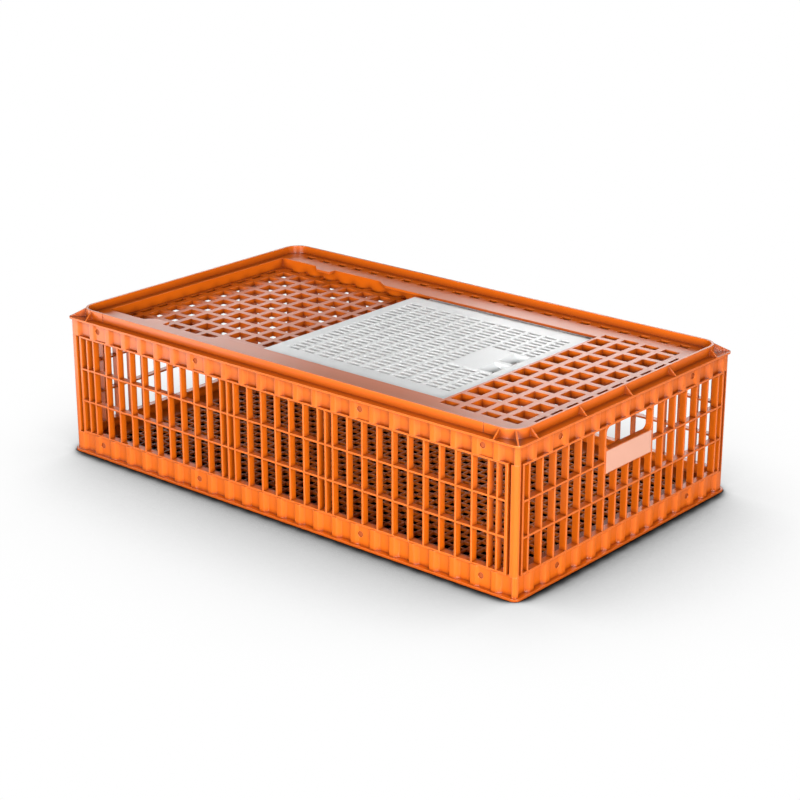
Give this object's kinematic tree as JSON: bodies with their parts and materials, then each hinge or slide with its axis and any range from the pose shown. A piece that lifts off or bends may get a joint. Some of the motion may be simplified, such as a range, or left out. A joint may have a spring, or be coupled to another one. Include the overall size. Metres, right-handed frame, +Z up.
{
  "type": "poultry transport crate",
  "caption": "Stacking live-poultry transport crate: fluted tray base, slotted grille walls, hand holes, and a gridded roof with a sliding door and spring latch.",
  "frame": {"origin": "middle of the underside of the bottom flange", "axes": "+X along the length, towards the fixed roof grid; -Y is the front long side; +Z up"},
  "size_m": [0.97, 0.575, 0.259],
  "materials": {
    "orange_plastic": "satin moulded polyethylene",
    "white_plastic": "satin moulded polyethylene"
  },
  "bodies": {
    "crate": {"base_tray": "orange_plastic", "front_wall": "orange_plastic", "rear_wall": "orange_plastic", "left_end_wall": "orange_plastic", "right_end_wall": "orange_plastic", "roof": "orange_plastic", "front_top_pins": "orange_plastic", "front_bottom_pins": "orange_plastic", "rear_top_pins": "orange_plastic", "rear_bottom_pins": "orange_plastic", "left_top_pins": "orange_plastic", "left_bottom_pins": "orange_plastic", "right_top_pins": "orange_plastic", "right_bottom_pins": "orange_plastic"},
    "door": {"sliding_door": "white_plastic"},
    "latch": {"door_latch": "white_plastic"}
  },
  "joints": [
    {"name": "door_slide", "type": "slide", "parent": "crate", "child": "door", "axis": [-1, 0, 0], "range_m": [0, 0.34]},
    {"name": "latch_flex", "type": "hinge", "parent": "door", "child": "latch", "pos_m": [0.165, 0, 0.2412], "axis": [0, -1, 0], "range_deg": [0, 7], "stiffness_Nm_per_rad": 4}
  ]
}
